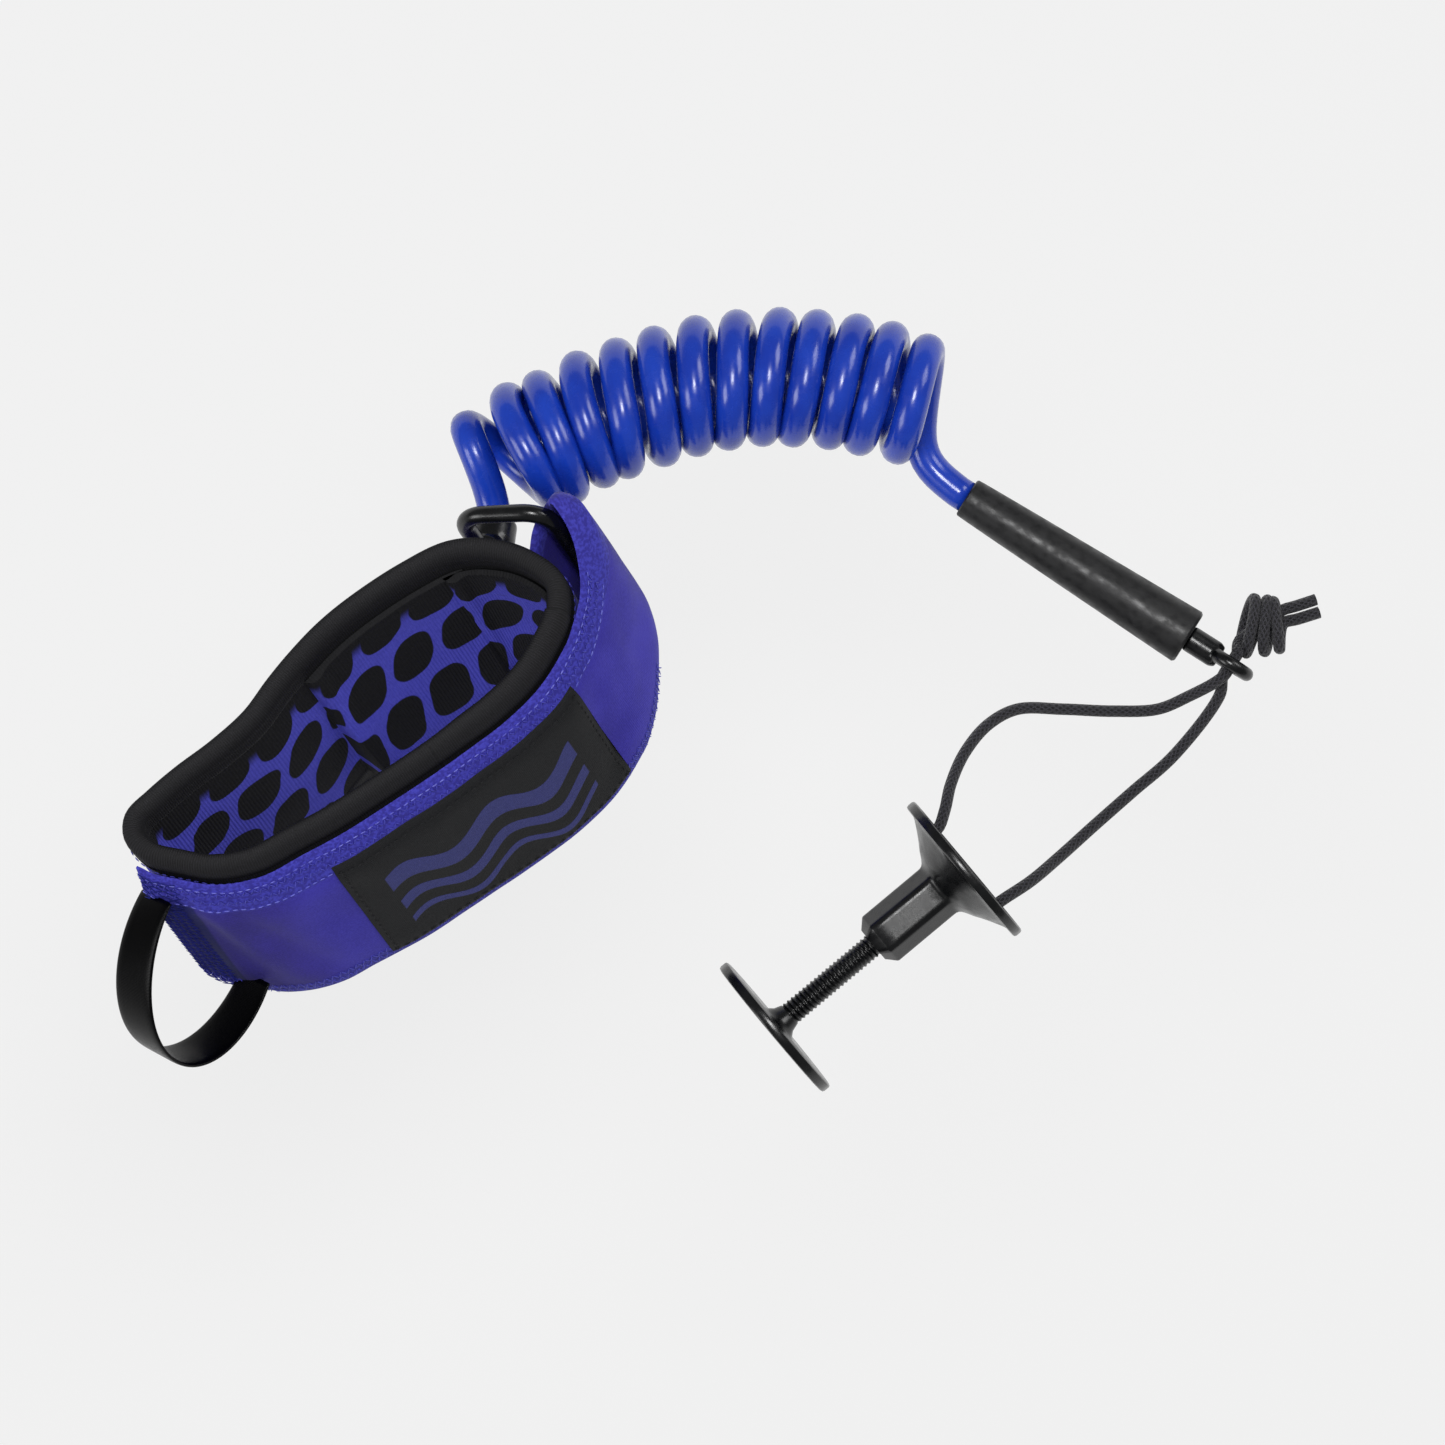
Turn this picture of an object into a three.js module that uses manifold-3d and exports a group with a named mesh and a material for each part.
// Coiled arm leash for a bodyboard, lying on a table.
// Millimetres, +Z up. The origin is on the table, under the middle of everything but the cords.
import * as THREE from 'three';
import { mergeVertices } from 'three/addons/utils/BufferGeometryUtils.js';
import Module from 'manifold-3d';

const wasm = await Module();
wasm.setup();

// ---- driving sizes -------------------------------------------------------------------------
const GAP = 0.3; // clearance between pieces that touch

// Cuff: a padded band that stands on its lower rim and leans over.
const CUFF_LENGTH = 124; // long way across the middle of the wall
const CUFF_WIDTH = 42; // short way across
const CUFF_HEIGHT = 52;
const CUFF_TURN = THREE.MathUtils.degToRad(33.5); // long axis, from +X
const LEAN = new THREE.Vector2(19, -28); // how far the lower rim lies from the upper one
const CORE_THICKNESS = 3.9;
const LINING_THICKNESS = 0.6;
const BINDING_WIDTH = 7.0;
const BINDING_HEIGHT = 7.5;
const BINDING_TAPE = 0.8;
const LOOP_PANEL_THICKNESS = 1.0;
const HOOK_PANEL_THICKNESS = 1.0;
const HOOK_PANEL_SPAN = 0.15; // share of the way round
const STRAP_THICKNESS = 2.5;
const STRAP_MARGIN = 2.0; // from the table to the strap's lower edge
const STRAP_HEIGHT = 44;
const STRAP_FROM = 0.963; // where the strap starts and ends, as shares of the way round
const STRAP_TO = 0.52;
const LABEL_THICKNESS = 1.0;
const LABEL_HEIGHT = 38;
const LABEL_FROM = 0.905;
const LABEL_TO = 0.667;

// Pull tab: a ribbon loop on the strap's end.
const TAB_WIDTH = 13;
const TAB_THICKNESS = 1.4;
const TAB_BULGE = 28;
const TAB_ROOT_STEP = 0.035; // the lower root, in from the strap's end, as a share of the way round

// Ring that the strap folds over, and the clasp that joins it to the coil.
const RING_BAR = 4.5; // thickness of its bars
const RING_SPAN = 23.2; // between the middles of the two long bars
const RING_LENGTH = 50; // between the middles of the two short bars
const RING_TURN = THREE.MathUtils.degToRad(-7.5); // of the short bars, from +X
const RING_FOLD = new THREE.Vector2(-43, 51.5); // long bar in the fold, at the height of the upper rim
const WEBBING_THICKNESS = 1.6;
const WEBBING_HEIGHT = 32;
const WEBBING_LEG = 5.5;
const CLASP_LENGTH = 12;
const CLASP_WALL = 2.0;
const CLASP_HEIGHT = 24; // above the table
const CLASP_NECK = 11.5; // from the bar to the end of the neck

// Coiled cord.
const COIL_CORD = 8.2;
const COIL_DIAMETER = 35.5;

// Sleeve over the coil's end, with the swivel inside it.
const SLEEVE_LENGTH = 66;
const SLEEVE_LIP = 1.1; // wall of the sleeve where the coil's tail goes in
const SLEEVE_START_DIAMETER = COIL_CORD + 2 * SLEEVE_LIP;
const SLEEVE_END_DIAMETER = 14.5;
const SLEEVE_END = new THREE.Vector2(117.7, 20.65);
const SLEEVE_DIRECTION = new THREE.Vector2(0.844, -0.536).normalize();
const FERRULE_DIAMETER = 8.0;
const FERRULE_LENGTH = 24;
const BARREL_DIAMETER = 9.2;
const BARREL_LENGTH = 34;
const BARREL_WALL = 1.2;
const PIN_DIAMETER = 3.0;
const PIN_HEAD = 5.8;
const WASHER_THICKNESS = 1.0;
const BUSH_LENGTH = 18;
const EYE_STEM = 6.8;
const EYE_STEM_LENGTH = 8.5;
const EYE_HOLE = 7.2;
const EYE_RIM = 2.0;
const EYE_THICKNESS = 3.6;

// Board cord, its knot and its two tails.
const BOARD_CORD = 3.0;
const KNOT_SIZE = new THREE.Vector3(10.6, 17.2, 10.6);

// Plug: a dished cap with a six-sided socket, and a disc on a screw.
const CAP_DIAMETER = 42.4;
const CAP_RIM = 2.6;
const CAP_LAND = 3; // flat ring under the rim that seats on the board
const CAP_CENTRE = new THREE.Vector2(61, -37.2);
const CAP_DEPTH = 9; // rim to the foot of the cone
const CORD_HOLE_SPACING = 24;
const CORD_HOLE = 3.8;
const CORD_HOLE_DEPTH = 3.4;
const SOCKET_ACROSS = 15;
const SOCKET_END = 29.6; // from the cap's rim
const SCREW_DIAMETER = 6.2;
const PLUG_LENGTH = 63;
const DISC_DIAMETER = 40.5;
const DISC_THICKNESS = 2.6;
const SCREW_IN_SOCKET = 8;
const PLUG_DIRECTION = new THREE.Vector2(-0.768, -0.641).normalize();

// ---- finishes ------------------------------------------------------------------------------
const finishes = {
  purpleNylon: { color: 0x453ea6, roughness: 0.85, metalness: 0 },
  blueStitching: { color: 0x2b28c0, roughness: 0.8, metalness: 0 },
  blackJersey: { color: 0x17181a, roughness: 0.9, metalness: 0 },
  blackTape: { color: 0x1c1c1c, roughness: 0.85, metalness: 0 },
  blackHook: { color: 0x141416, roughness: 0.95, metalness: 0 },
  blackRibbon: { color: 0x0b0b0d, roughness: 0.4, metalness: 0 },
  blackPlastic: { color: 0x101114, roughness: 0.35, metalness: 0 },
  satinSleeve: { color: 0x303032, roughness: 0.5, metalness: 0 },
  blueUrethane: { color: 0x14308f, roughness: 0.2, metalness: 0 },
  blackNylonCord: { color: 0x222226, roughness: 0.8, metalness: 0 },
  steel: { color: 0xb9bcc0, roughness: 0.3, metalness: 1 },
  aluminium: { color: 0xa9acb0, roughness: 0.4, metalness: 1 },
};

// ---- helpers -------------------------------------------------------------------------------
const UP = new THREE.Vector3(0, 0, 1);
const lift = (flat, z) => new THREE.Vector3(flat.x, flat.y, z);

function joined(geometry) {
  const bare = geometry.clone();
  bare.deleteAttribute('normal');
  bare.deleteAttribute('uv');
  return mergeVertices(bare, 1e-4);
}

function facingOut(geometry) {
  const merged = joined(geometry);
  const { position } = merged.attributes;
  const index = Array.from(merged.index.array);
  const corners = [new THREE.Vector3(), new THREE.Vector3(), new THREE.Vector3()];
  let volume = 0;
  for (let i = 0; i < index.length; i += 3) {
    corners.forEach((corner, k) => corner.fromBufferAttribute(position, index[i + k]));
    volume += corners[0].dot(corners[1].cross(corners[2]));
  }
  if (volume < 0) index.reverse();
  merged.setIndex(index);
  return merged;
}

function piece(name, geometry, finish) {
  const closed = facingOut(geometry);
  closed.computeVertexNormals();
  const mesh = new THREE.Mesh(closed, new THREE.MeshStandardMaterial(finishes[finish]));
  mesh.name = name;
  return mesh;
}

function toManifold(geometry) {
  const merged = facingOut(geometry);
  const vertProperties = new Float32Array(merged.attributes.position.array);
  const triVerts = new Uint32Array(merged.index.array);
  return new wasm.Manifold(new wasm.Mesh({ numProp: 3, vertProperties, triVerts }));
}

function fromManifold(solid) {
  const mesh = solid.getMesh();
  const geometry = new THREE.BufferGeometry();
  geometry.setAttribute('position', new THREE.BufferAttribute(mesh.vertProperties, 3));
  geometry.setIndex(Array.from(mesh.triVerts));
  return geometry;
}

// A turned solid about +Y, from a profile of [radius, height] pairs.
function turned(profile, segments = 24) {
  return new THREE.LatheGeometry(profile.map(([r, h]) => new THREE.Vector2(r, h)), segments);
}

// Stands a solid made about +Y at a point, pointing along a direction.
function stand(geometry, point, direction) {
  const turn = new THREE.Quaternion().setFromUnitVectors(new THREE.Vector3(0, 1, 0), direction);
  return geometry.clone().applyQuaternion(turn).translate(point.x, point.y, point.z);
}

function cord(points, diameter, sides, steps) {
  const ring = Array.from({ length: sides }, (_, i) => {
    const angle = (2 * Math.PI * i) / sides;
    return new THREE.Vector2(Math.cos(angle), Math.sin(angle)).multiplyScalar(diameter / 2);
  });
  const path = new THREE.CatmullRomCurve3(points, false, 'centripetal');
  return new THREE.ExtrudeGeometry(new THREE.Shape(ring), { extrudePath: path, steps });
}

// Triangles over a section, each turning the way its outline does.
function sectionTriangles(outline) {
  const clockwise = THREE.ShapeUtils.isClockWise(outline);
  return THREE.ShapeUtils.triangulateShape(outline, []).map(([a, b, c]) => {
    const turns = THREE.ShapeUtils.isClockWise([outline[a], outline[b], outline[c]]);
    return turns === clockwise ? [a, b, c] : [a, c, b];
  });
}

// Sweeps a section of [offset, height] pairs along stations of a leaning wall.
function wall(stations, section, loop) {
  const positions = [];
  const index = [];
  for (const { point, outward } of stations) {
    for (const [offset, height] of section) {
      const slip = 1 - height / CUFF_HEIGHT;
      positions.push(point.x + outward.x * offset + LEAN.x * slip,
        point.y + outward.y * offset + LEAN.y * slip, height);
    }
  }
  const size = section.length;
  const spans = loop ? stations.length : stations.length - 1;
  for (let i = 0; i < spans; i++) {
    for (let j = 0; j < size; j++) {
      const a = i * size + j;
      const b = i * size + ((j + 1) % size);
      const c = ((i + 1) % stations.length) * size + ((j + 1) % size);
      const d = ((i + 1) % stations.length) * size + j;
      index.push(a, b, c, a, c, d);
    }
  }
  if (!loop) {
    const outline = section.map(([offset, height]) => new THREE.Vector2(offset, height));
    const last = (stations.length - 1) * size;
    for (const [a, b, c] of sectionTriangles(outline)) {
      index.push(a, c, b, last + a, last + b, last + c);
    }
  }
  const geometry = new THREE.BufferGeometry();
  geometry.setAttribute('position', new THREE.Float32BufferAttribute(positions, 3));
  geometry.setIndex(index);
  return geometry;
}

const slab = (inner, outer, low, high) => [[inner, low], [outer, low], [outer, high], [inner, high]];

// ---- the cuff's line, seen from above at its upper rim ------------------------------------------
// Percent of half the length and of half the width, anticlockwise from the end beside the ring.
const CUFF_SHAPE = [
  [96, -14], [91, 29], [81, 62], [68, 84], [48, 92], [24, 92], [8, 87], [-8, 76], [-20, 65],
  [-35, 49], [-53, 41], [-71, 38], [-85, 33], [-96, 26], [-100, 9], [-98, -17], [-90, -43],
  [-80, -70], [-65, -89], [-48, -94], [-29, -99], [-9, -100], [13, -100], [32, -98], [48, -95],
  [65, -85], [79, -67], [90, -45],
];
const cuffAxis = new THREE.Vector2(Math.cos(CUFF_TURN), Math.sin(CUFF_TURN));
const cuffSide = new THREE.Vector2(-cuffAxis.y, cuffAxis.x);
const FOLD_FROM_TIP = new THREE.Vector2(7.9, 14.1); // the fold bar, from the cuff's end beside it

function cuffPoint([along, across]) {
  const tip = CUFF_LENGTH / 2;
  return RING_FOLD.clone()
    .addScaledVector(cuffAxis, (along / 100) * tip - tip * 0.96 - FOLD_FROM_TIP.x)
    .addScaledVector(cuffSide, ((across + 14) / 100) * (CUFF_WIDTH / 2) - FOLD_FROM_TIP.y);
}

const cuffLine = new THREE.CatmullRomCurve3(
  CUFF_SHAPE.map((share) => lift(cuffPoint(share), 0)), true, 'centripetal');

function cuffStation(share) {
  const u = ((share % 1) + 1) % 1;
  const point = cuffLine.getPointAt(u);
  const tangent = cuffLine.getTangentAt(u);
  return { point, outward: new THREE.Vector3(tangent.y, -tangent.x, 0) };
}

const aroundCuff = (steps) => Array.from({ length: steps }, (_, i) => cuffStation(i / steps));
const alongCuff = (from, to, steps) =>
  Array.from({ length: steps + 1 }, (_, i) => cuffStation(from + ((to - from) * i) / steps));

// Layers of the wall, as offsets from its line, outward positive.
const stackThickness = LINING_THICKNESS + GAP + CORE_THICKNESS;
const liningInner = -stackThickness / 2;
const coreInner = liningInner + LINING_THICKNESS + GAP;
const coreOuter = coreInner + CORE_THICKNESS;
const loopInner = coreOuter + GAP;
const loopOuter = loopInner + LOOP_PANEL_THICKNESS;
const bindingOuter = BINDING_WIDTH / 2;
const hookInner = Math.max(loopOuter, bindingOuter) + GAP;
const strapInner = hookInner + HOOK_PANEL_THICKNESS + GAP;
const strapOuter = strapInner + STRAP_THICKNESS;
const labelInner = strapOuter + GAP;
const strapTop = STRAP_MARGIN + STRAP_HEIGHT;
const edgeDepth = BINDING_TAPE + GAP; // from the rim to the padded wall's edge

function cuffPieces() {
  const low = edgeDepth;
  const high = CUFF_HEIGHT - edgeDepth;
  const steps = 72;
  const round = BINDING_WIDTH * 0.28;
  const inside = bindingOuter - BINDING_TAPE;
  const binding = [
    [-bindingOuter, -BINDING_HEIGHT], [-bindingOuter, -round], [-bindingOuter + round, 0],
    [bindingOuter - round, 0], [bindingOuter, -round], [bindingOuter, -BINDING_HEIGHT],
    [inside, -BINDING_HEIGHT], [inside, -BINDING_TAPE], [-inside, -BINDING_TAPE],
    [-inside, -BINDING_HEIGHT],
  ];
  const upper = binding.map(([offset, depth]) => [offset, CUFF_HEIGHT + depth]);
  const lower = binding.map(([offset, depth]) => [offset, -depth]);
  const panelLow = BINDING_HEIGHT + GAP;
  const panelHigh = CUFF_HEIGHT - BINDING_HEIGHT - GAP;
  return [
    piece('cuff_core', wall(aroundCuff(steps), slab(coreInner, coreOuter, low, high), true),
      'purpleNylon'),
    piece('cuff_lining',
      wall(aroundCuff(steps), slab(liningInner, liningInner + LINING_THICKNESS, low, high), true),
      'blackJersey'),
    piece('top_binding', wall(aroundCuff(steps), upper, true), 'blackTape'),
    piece('bottom_binding', wall(aroundCuff(steps), lower, true), 'blackTape'),
    piece('loop_panel',
      wall(alongCuff(STRAP_FROM - 0.01, STRAP_TO, 34), slab(loopInner, loopOuter, panelLow, panelHigh)),
      'blackHook'),
  ];
}

function strapPieces() {
  const middle = STRAP_MARGIN + STRAP_HEIGHT / 2;
  const strap = slab(strapInner, strapOuter, STRAP_MARGIN, strapTop);
  const label = slab(labelInner, labelInner + LABEL_THICKNESS, middle - LABEL_HEIGHT / 2,
    middle + LABEL_HEIGHT / 2);
  const hookEdge = 3;
  const hook = slab(hookInner, hookInner + HOOK_PANEL_THICKNESS, STRAP_MARGIN + hookEdge,
    strapTop - hookEdge);
  return [
    piece('closing_strap', wall(alongCuff(STRAP_FROM, STRAP_TO, 36), strap), 'purpleNylon'),
    piece('label_patch', wall(alongCuff(LABEL_FROM, LABEL_TO, 18), label), 'blackTape'),
    piece('hook_panel', wall(alongCuff(STRAP_TO + HOOK_PANEL_SPAN, STRAP_TO + 0.005, 12), hook),
      'blackHook'),
  ];
}

// A ribbon loop from the top corner of the strap's end to its bottom corner.
function pullTab() {
  const onStrap = (share, height) => {
    const { point, outward } = cuffStation(share);
    const slip = 1 - height / CUFF_HEIGHT;
    const offset = strapOuter + TAB_THICKNESS + GAP;
    return new THREE.Vector3(point.x + outward.x * offset + LEAN.x * slip,
      point.y + outward.y * offset + LEAN.y * slip, height);
  };
  const end = cuffStation(STRAP_TO);
  const top = onStrap(STRAP_TO, strapTop - 5);
  const bottom = onStrap(STRAP_TO + TAB_ROOT_STEP, STRAP_MARGIN + 6);
  const middle = top.clone().add(bottom).multiplyScalar(0.5);
  const half = bottom.clone().sub(top).multiplyScalar(0.5);
  const bulge = end.outward.clone();
  const across = half.clone().cross(bulge).normalize();
  const steps = 20;
  const startAngle = 0.05;
  const positions = [];
  for (let i = 0; i <= steps; i++) {
    const angle = startAngle + ((Math.PI - 2 * startAngle) * i) / steps;
    const centre = middle.clone().addScaledVector(half, -Math.cos(angle))
      .addScaledVector(bulge, TAB_BULGE * Math.sin(angle));
    const radial = half.clone().multiplyScalar(-Math.cos(angle) / half.length())
      .addScaledVector(bulge, Math.sin(angle)).normalize();
    for (const [w, t] of [[-1, -1], [1, -1], [1, 1], [-1, 1]]) {
      const corner = centre.clone().addScaledVector(across, (w * TAB_WIDTH) / 2)
        .addScaledVector(radial, (t * TAB_THICKNESS) / 2);
      positions.push(corner.x, corner.y, corner.z);
    }
  }
  const index = [0, 2, 1, 0, 3, 2];
  for (let i = 0; i < steps; i++) {
    for (let j = 0; j < 4; j++) {
      const a = 4 * i + j;
      const b = 4 * i + ((j + 1) % 4);
      index.push(a, b, b + 4, a, b + 4, a + 4);
    }
  }
  const last = 4 * steps;
  index.push(last, last + 1, last + 2, last, last + 2, last + 3);
  const geometry = new THREE.BufferGeometry();
  geometry.setAttribute('position', new THREE.Float32BufferAttribute(positions, 3));
  geometry.setIndex(index);
  return piece('pull_tab', geometry, 'blackRibbon');
}

// ---- ring, webbing and clasp ----------------------------------------------------------------
const barDirection = new THREE.Vector3(-LEAN.x, -LEAN.y, CUFF_HEIGHT).normalize();
const ringLevel = new THREE.Vector3(Math.cos(RING_TURN), Math.sin(RING_TURN), 0);
const ringAcross = ringLevel.clone()
  .addScaledVector(barDirection, -ringLevel.dot(barDirection)).normalize();
const ringAway = barDirection.clone().cross(ringAcross).normalize(); // from the cuff to the coil
const foldTop = lift(RING_FOLD, CUFF_HEIGHT);
// The middle of the ring is half a bar lower than the middle of the wall's own slope.
const ringMiddleHeight = CUFF_HEIGHT / 2 + 2;
const foldMiddle = foldTop.clone()
  .addScaledVector(barDirection, (ringMiddleHeight + 3 - CUFF_HEIGHT) / barDirection.z);
const ringCentre = foldMiddle.clone().addScaledVector(ringAcross, -RING_SPAN / 2);
const barReach = RING_BAR * 0.68; // from a bar's middle to its rounded corner

function roundedRectangle(width, height, radius, target) {
  const [x, y] = [width / 2, height / 2];
  target.moveTo(-x + radius, -y);
  target.lineTo(x - radius, -y);
  target.absarc(x - radius, -y + radius, radius, -Math.PI / 2, 0);
  target.lineTo(x, y - radius);
  target.absarc(x - radius, y - radius, radius, 0, Math.PI / 2);
  target.lineTo(-x + radius, y);
  target.absarc(-x + radius, y - radius, radius, Math.PI / 2, Math.PI);
  target.lineTo(-x, -y + radius);
  target.absarc(-x + radius, -y + radius, radius, Math.PI, 1.5 * Math.PI);
  return target;
}

function cuffRing() {
  const bevel = 1.3;
  const outer = roundedRectangle(RING_SPAN + RING_BAR - 2 * bevel, RING_LENGTH + RING_BAR - 2 * bevel,
    8, new THREE.Shape());
  outer.holes.push(roundedRectangle(RING_SPAN - RING_BAR + 2 * bevel,
    RING_LENGTH - RING_BAR + 2 * bevel, 5, new THREE.Path()));
  const flat = new THREE.ExtrudeGeometry(outer, {
    depth: RING_BAR - 2 * bevel, bevelEnabled: true, bevelSize: bevel, bevelThickness: bevel,
    bevelSegments: 2, curveSegments: 6,
  });
  flat.translate(0, 0, -(RING_BAR - 2 * bevel) / 2);
  const frame = new THREE.Matrix4().makeBasis(ringAcross, barDirection,
    ringAcross.clone().cross(barDirection));
  frame.setPosition(ringCentre);
  return piece('cuff_ring', flat.applyMatrix4(frame), 'blackPlastic');
}

// The strap's fold over the ring's outer bar: a half turn of webbing with two legs.
function ringWebbing() {
  const radius = barReach / barDirection.z + GAP + WEBBING_THICKNESS / 2;
  const stations = [];
  const push = (x, y, angle) => stations.push({
    point: new THREE.Vector3(RING_FOLD.x + x, RING_FOLD.y + y, 0),
    outward: new THREE.Vector3(Math.cos(angle), Math.sin(angle), 0),
  });
  push(radius, -WEBBING_LEG, 0);
  const steps = 12;
  for (let i = 0; i <= steps; i++) {
    const angle = (Math.PI * i) / steps;
    push(radius * Math.cos(angle), radius * Math.sin(angle), angle);
  }
  push(-radius, -WEBBING_LEG, Math.PI);
  const low = ringMiddleHeight - WEBBING_HEIGHT / 2;
  const half = WEBBING_THICKNESS / 2;
  return piece('ring_webbing', wall(stations, slab(-half, half, low, low + WEBBING_HEIGHT)),
    'purpleNylon');
}

function ringClasp() {
  const bore = barReach + GAP;
  const outer = bore + CLASP_WALL;
  const neck = COIL_CORD / 2 + 1.6;
  const around = new THREE.CylinderGeometry(outer, outer, CLASP_LENGTH, 20);
  const hole = new THREE.CylinderGeometry(bore, bore, 2 * CLASP_LENGTH, 20);
  const barrel = stand(around, claspMiddle, barDirection);
  const stem = turned([[0, 0], [neck, 0], [neck, CLASP_NECK - 1.5], [neck - 1.2, CLASP_NECK],
    [0, CLASP_NECK]], 20);
  const solid = toManifold(barrel)
    .add(toManifold(stand(stem, claspMiddle, claspDirection)))
    .subtract(toManifold(stand(hole, claspMiddle, barDirection)));
  return piece('ring_clasp', fromManifold(solid), 'blackPlastic');
}

const claspMiddle = (() => {
  const bar = foldMiddle.clone().addScaledVector(ringAcross, -RING_SPAN);
  return bar.addScaledVector(barDirection, (CLASP_HEIGHT - bar.z) / barDirection.z);
})();
const claspDirection = ringAway.clone().multiplyScalar(Math.sign(ringAway.y));
const claspEnd = claspMiddle.clone().addScaledVector(claspDirection, CLASP_NECK);

// ---- coil ------------------------------------------------------------------------------------
const COIL_LINE = [
  [-57, 64.4], [-48.75, 68], [-40.6, 71], [-33.6, 74.8], [-24.5, 78], [-15.25, 81], [-6.5, 83.5],
  [3.1, 85.1], [12.25, 85.9], [21.4, 85.5], [30.4, 84.75], [39, 83], [48.5, 80.8],
];
const TAIL_LINE = [[50.2, 65.6, 4.25], [53.2, 62.6, 4.4], [56.6, 59.7, 4.6]];

const sleeveEnd = lift(SLEEVE_END, SLEEVE_END_DIAMETER / 2);
const sleeveStart = lift(SLEEVE_END.clone().addScaledVector(SLEEVE_DIRECTION, -SLEEVE_LENGTH),
  SLEEVE_START_DIAMETER / 2);
const sleeveAxis = sleeveEnd.clone().sub(sleeveStart).normalize();
const onSleeve = (distance) => sleeveStart.clone().addScaledVector(sleeveAxis, distance);

function coilPieces() {
  const line = COIL_LINE.map(([x, y]) => new THREE.Vector3(x, y, COIL_DIAMETER / 2));
  const tail = TAIL_LINE.map(([x, y, z]) => new THREE.Vector3(x, y, z));
  tail.push(onSleeve(-3), onSleeve(-GAP));
  return [
    piece('coil_cord', cord(line, COIL_DIAMETER, 20, 24), 'blueUrethane'),
    piece('coil_tail', cord(tail, COIL_CORD, 10, 6), 'blueUrethane'),
  ];
}

// ---- sleeve and swivel -------------------------------------------------------------------------
function sleevePieces() {
  const ferruleBore = FERRULE_DIAMETER / 2 + GAP;
  const barrelBore = BARREL_DIAMETER / 2 + GAP;
  const barrelStart = FERRULE_LENGTH + 4;
  const start = SLEEVE_START_DIAMETER / 2;
  const end = SLEEVE_END_DIAMETER / 2;
  const rounding = 0.8;
  const sleeve = turned([
    [ferruleBore, 0], [start, 0], [end, SLEEVE_LENGTH - rounding], [end - rounding, SLEEVE_LENGTH],
    [barrelBore, SLEEVE_LENGTH], [barrelBore, barrelStart], [ferruleBore, barrelStart],
    [ferruleBore, 0],
  ], 28);
  const crimp = 0.5;
  const f = FERRULE_DIAMETER / 2;
  const ferrule = turned([
    [0, 1], [f, 1], [f, 7], [f - crimp, 8], [f - crimp, 10], [f, 11], [f, 15], [f - crimp, 16],
    [f - crimp, 18], [f, 19], [f, FERRULE_LENGTH], [0, FERRULE_LENGTH],
  ], 20);
  const place = (geometry, distance) => stand(geometry, onSleeve(distance), sleeveAxis);
  const tube = (inner, outer, length) => turned([
    [inner, 0], [outer, 0], [outer, length], [inner, length], [inner, 0]], 20);
  const cavity = BARREL_DIAMETER / 2 - BARREL_WALL;
  const barrel = turned([
    [0, 0], [BARREL_DIAMETER / 2, 0], [BARREL_DIAMETER / 2, BARREL_LENGTH], [cavity, BARREL_LENGTH],
    [cavity, BARREL_WALL], [0, BARREL_WALL],
  ], 20);
  const barrelAt = barrelStart + GAP;
  const headAt = barrelAt + BARREL_WALL + GAP;
  const headLength = 3;
  const shank = PIN_DIAMETER / 2;
  const runningBore = shank + GAP;
  const insideBarrel = cavity - GAP;
  const firstWasher = headAt + headLength + GAP;
  const secondWasher = firstWasher + WASHER_THICKNESS + GAP;
  const bushAt = secondWasher + WASHER_THICKNESS + GAP;
  const stemAt = SLEEVE_LENGTH + GAP;
  const pinLength = stemAt + EYE_STEM_LENGTH * 0.6 - headAt;
  const pin = turned([
    [0, 0], [PIN_HEAD / 2, 0], [PIN_HEAD / 2, headLength], [shank, headLength], [shank, pinLength],
    [0, pinLength],
  ], 16);
  return [
    piece('sleeve', place(sleeve, 0), 'satinSleeve'),
    piece('cord_ferrule', place(ferrule, 0), 'aluminium'),
    piece('swivel_barrel', place(barrel, barrelAt), 'blackPlastic'),
    piece('swivel_pin', place(pin, headAt), 'steel'),
    piece('swivel_washer_inner', place(tube(runningBore, insideBarrel, WASHER_THICKNESS), firstWasher),
      'steel'),
    piece('swivel_washer_outer', place(tube(runningBore, insideBarrel, WASHER_THICKNESS), secondWasher),
      'steel'),
    piece('swivel_bush', place(tube(runningBore, insideBarrel, BUSH_LENGTH), bushAt), 'blackPlastic'),
    swivelEye(stemAt, shank + GAP, pinLength + headAt + GAP - stemAt),
  ];
}

const eyeReach = EYE_HOLE / 2 + EYE_RIM;
const eyeDistance = SLEEVE_LENGTH + GAP + EYE_STEM_LENGTH + EYE_HOLE / 2;
const eyeCentre = onSleeve(eyeDistance);
const eyeHoleAxis = UP.clone().cross(sleeveAxis).normalize(); // level, across the sleeve

function swivelEye(stemAt, socket, socketDepth) {
  const stem = new THREE.CylinderGeometry(EYE_STEM / 2, EYE_STEM / 2, EYE_STEM_LENGTH, 20);
  stem.translate(0, EYE_STEM_LENGTH / 2, 0);
  const lug = new THREE.CylinderGeometry(eyeReach, eyeReach, EYE_THICKNESS, 24);
  const hole = new THREE.CylinderGeometry(EYE_HOLE / 2, EYE_HOLE / 2, 2 * EYE_THICKNESS, 24);
  const bore = new THREE.CylinderGeometry(socket, socket, 2 * socketDepth, 16);
  const solid = toManifold(stand(stem, onSleeve(stemAt), sleeveAxis))
    .add(toManifold(stand(lug, eyeCentre, eyeHoleAxis)))
    .subtract(toManifold(stand(hole, eyeCentre, eyeHoleAxis)))
    .subtract(toManifold(stand(bore, onSleeve(stemAt), sleeveAxis)));
  return piece('swivel_eye', fromManifold(solid), 'blackPlastic');
}

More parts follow.
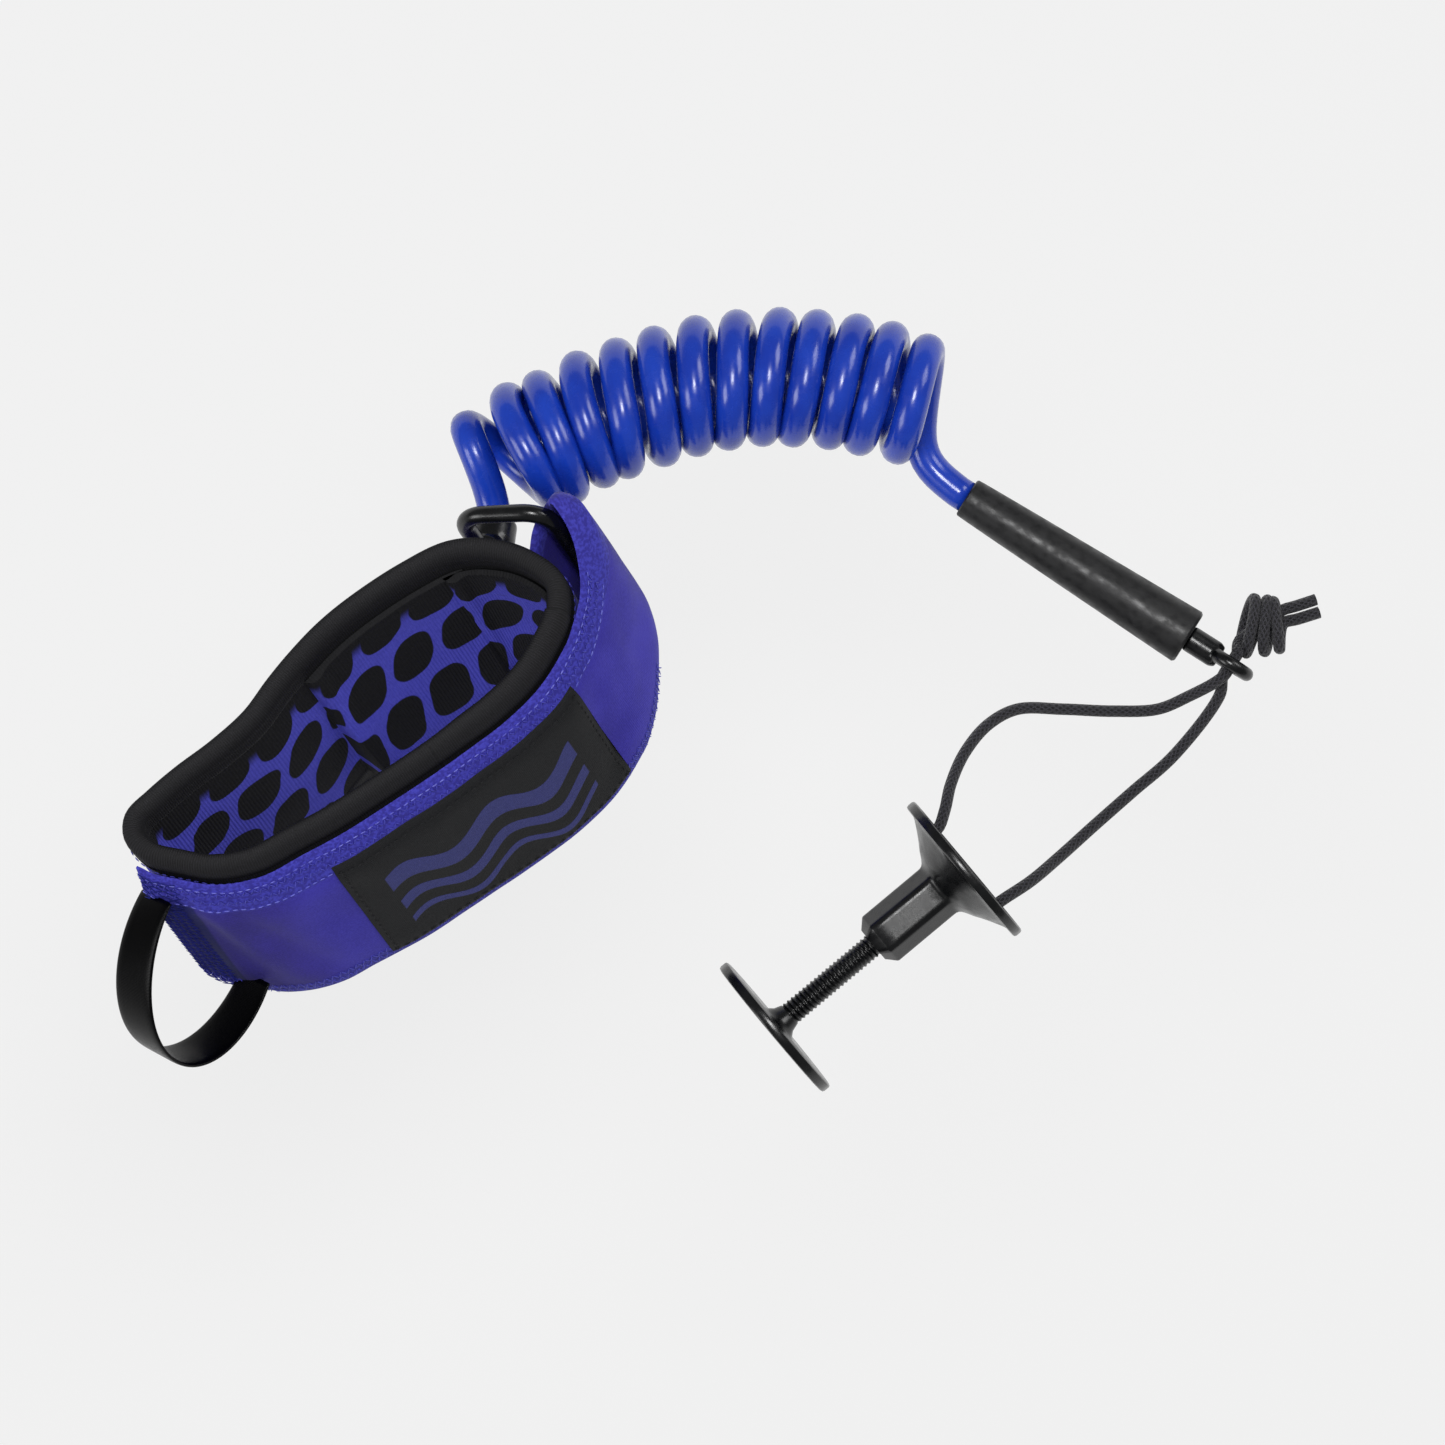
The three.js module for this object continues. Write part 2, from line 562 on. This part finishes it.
// ---- board cord ----------------------------------------------------------------------------------
const KNOT_CENTRE = new THREE.Vector3(135.9, 23.6, 5.8);
const FIRST_STRAND = [
  [117.25, 5.75, 4.4], [110, 2.75, 2.8], [98.75, 2.25, 1.9], [86.25, 2.75, 1.9], [74.75, 2.75, 2.4],
  [67.5, -1, 4.6], [61.5, -8, 9], [57.8, -16, 14.4], [56.2, -22.5, 19.2],
];
const SECOND_STRAND = [
  [125.6, 6.4, 4.0], [114.25, -8.75, 2.1], [103.75, -18, 2.0], [94, -26.5, 4.6], [85, -34.4, 10.5],
  [77.6, -40.4, 17.2],
];
const FIRST_TAIL = [[141.2, 27.5, 5.4], [144.5, 28.2, 5.0], [149.6, 29.9, 4.4]];
const SECOND_TAIL = [[141.4, 24.0, 5.0], [145, 24.6, 4.6], [150.2, 25.9, 4.0]];

const capRimRadius = CAP_DIAMETER / 2;
const discRadius = DISC_DIAMETER / 2;
const capCentre = lift(CAP_CENTRE, capRimRadius);
const plugAxis = lift(PLUG_DIRECTION, (discRadius - capRimRadius) / PLUG_LENGTH).normalize();
const plugSide = UP.clone().cross(plugAxis).normalize(); // level, across the plug
const onPlug = (distance, across = 0) => capCentre.clone()
  .addScaledVector(plugAxis, distance).addScaledVector(plugSide, across);

function boardCordPieces() {
  const tubes = [];
  const strandGap = BOARD_CORD / 2 + GAP / 2;
  const strand = (name, middle, rise, side) => {
    const level = new THREE.Vector3(0, 0, rise * strandGap);
    const near = eyeCentre.clone().addScaledVector(eyeHoleAxis, 2.9).add(level);
    const far = eyeCentre.clone().addScaledVector(eyeHoleAxis, -3.6).add(level);
    const points = [near, eyeCentre.clone().add(level), far];
    for (const [x, y, z] of middle) points.push(new THREE.Vector3(x, y, z));
    points.push(onPlug(-CAP_RIM / 2 - GAP, (side * CORD_HOLE_SPACING) / 2));
    tubes.push(piece(name, cord(points, BOARD_CORD, 8, 34), 'blackNylonCord'));
  };
  strand('board_cord_first', FIRST_STRAND, 1, -1);
  strand('board_cord_second', SECOND_STRAND, -1, 1);
  const tail = (name, line) => tubes.push(
    piece(name, cord(line.map(([x, y, z]) => new THREE.Vector3(x, y, z)), BOARD_CORD, 8, 4),
      'blackNylonCord'));
  tail('cord_tail_first', FIRST_TAIL);
  tail('cord_tail_second', SECOND_TAIL);
  const knot = new THREE.SphereGeometry(0.5, 16, 10);
  knot.scale(KNOT_SIZE.x, KNOT_SIZE.y, KNOT_SIZE.z);
  knot.translate(KNOT_CENTRE.x, KNOT_CENTRE.y, KNOT_CENTRE.z);
  tubes.push(piece('board_knot', knot, 'blackNylonCord'));
  return tubes;
}

// ---- plug -----------------------------------------------------------------------------------------
function plugPieces() {
  const edge = CAP_RIM / 2;
  const foot = SOCKET_ACROSS / 2 - 0.6;
  const cap = turned([
    [0, -edge], [capRimRadius - 0.8, -edge], [capRimRadius, -edge + 0.8], [capRimRadius, edge - 0.8],
    [capRimRadius - 0.8, edge], [capRimRadius - CAP_LAND, edge],
    [capRimRadius * 0.72, CAP_DEPTH * 0.42],
    [capRimRadius * 0.5, CAP_DEPTH * 0.72], [foot, CAP_DEPTH + 1], [0, CAP_DEPTH + 1],
  ], 40);
  const chamfer = 2.4;
  const socketLength = SOCKET_END - CAP_DEPTH;
  const socket = new THREE.CylinderGeometry(SOCKET_ACROSS / 2, SOCKET_ACROSS / 2,
    socketLength - chamfer, 6);
  socket.translate(0, CAP_DEPTH + (socketLength - chamfer) / 2, 0);
  const nose = new THREE.CylinderGeometry(SOCKET_ACROSS / 2 - chamfer, SOCKET_ACROSS / 2, chamfer, 6);
  nose.translate(0, SOCKET_END - chamfer / 2, 0);
  const boreRadius = SCREW_DIAMETER / 2 + GAP;
  const boreStart = edge + 2;
  const bore = new THREE.CylinderGeometry(boreRadius, boreRadius, SOCKET_END, 20);
  bore.translate(0, boreStart + SOCKET_END / 2, 0);
  const placed = (geometry) => toManifold(stand(geometry, capCentre, plugAxis));
  let solid = placed(cap).add(placed(socket)).add(placed(nose)).subtract(placed(bore));
  for (const side of [-1, 1]) {
    const hole = new THREE.CylinderGeometry(CORD_HOLE / 2, CORD_HOLE / 2, 2 * CORD_HOLE_DEPTH, 16);
    const at = onPlug(-edge, (side * CORD_HOLE_SPACING) / 2);
    solid = solid.subtract(toManifold(stand(hole, at, plugAxis)));
  }
  const tip = SOCKET_END - SCREW_IN_SOCKET;
  const shank = SCREW_DIAMETER / 2;
  const inner = PLUG_LENGTH - DISC_THICKNESS;
  const screw = turned([
    [0, tip], [shank - 0.8, tip], [shank, tip + 0.8], [shank, inner - 3.4], [shank + 2.2, inner],
    [discRadius - 0.6, inner], [discRadius, inner + 0.6], [discRadius, PLUG_LENGTH - 0.7],
    [discRadius - 0.7, PLUG_LENGTH], [0, PLUG_LENGTH],
  ], 40);
  return [
    piece('plug_cap', fromManifold(solid), 'blackPlastic'),
    piece('plug_screw', stand(screw, capCentre, plugAxis), 'blackPlastic'),
  ];
}

// ---- the whole leash ----------------------------------------------------------------------------
const CORD_NAMES = new Set(['coil_cord', 'coil_tail', 'board_cord_first', 'board_cord_second',
  'board_knot', 'cord_tail_first', 'cord_tail_second']);

const leash = new THREE.Group();
leash.add(...cuffPieces(), ...strapPieces(), pullTab(), ringWebbing(), cuffRing(), ringClasp(),
  ...coilPieces(), ...sleevePieces(), ...boardCordPieces(), ...plugPieces());

const box = new THREE.Box3();
for (const mesh of leash.children) {
  if (!CORD_NAMES.has(mesh.name)) box.expandByObject(mesh);
}
const centre = box.getCenter(new THREE.Vector3());
leash.position.set(-centre.x, -centre.y, -box.min.z);

export default leash;
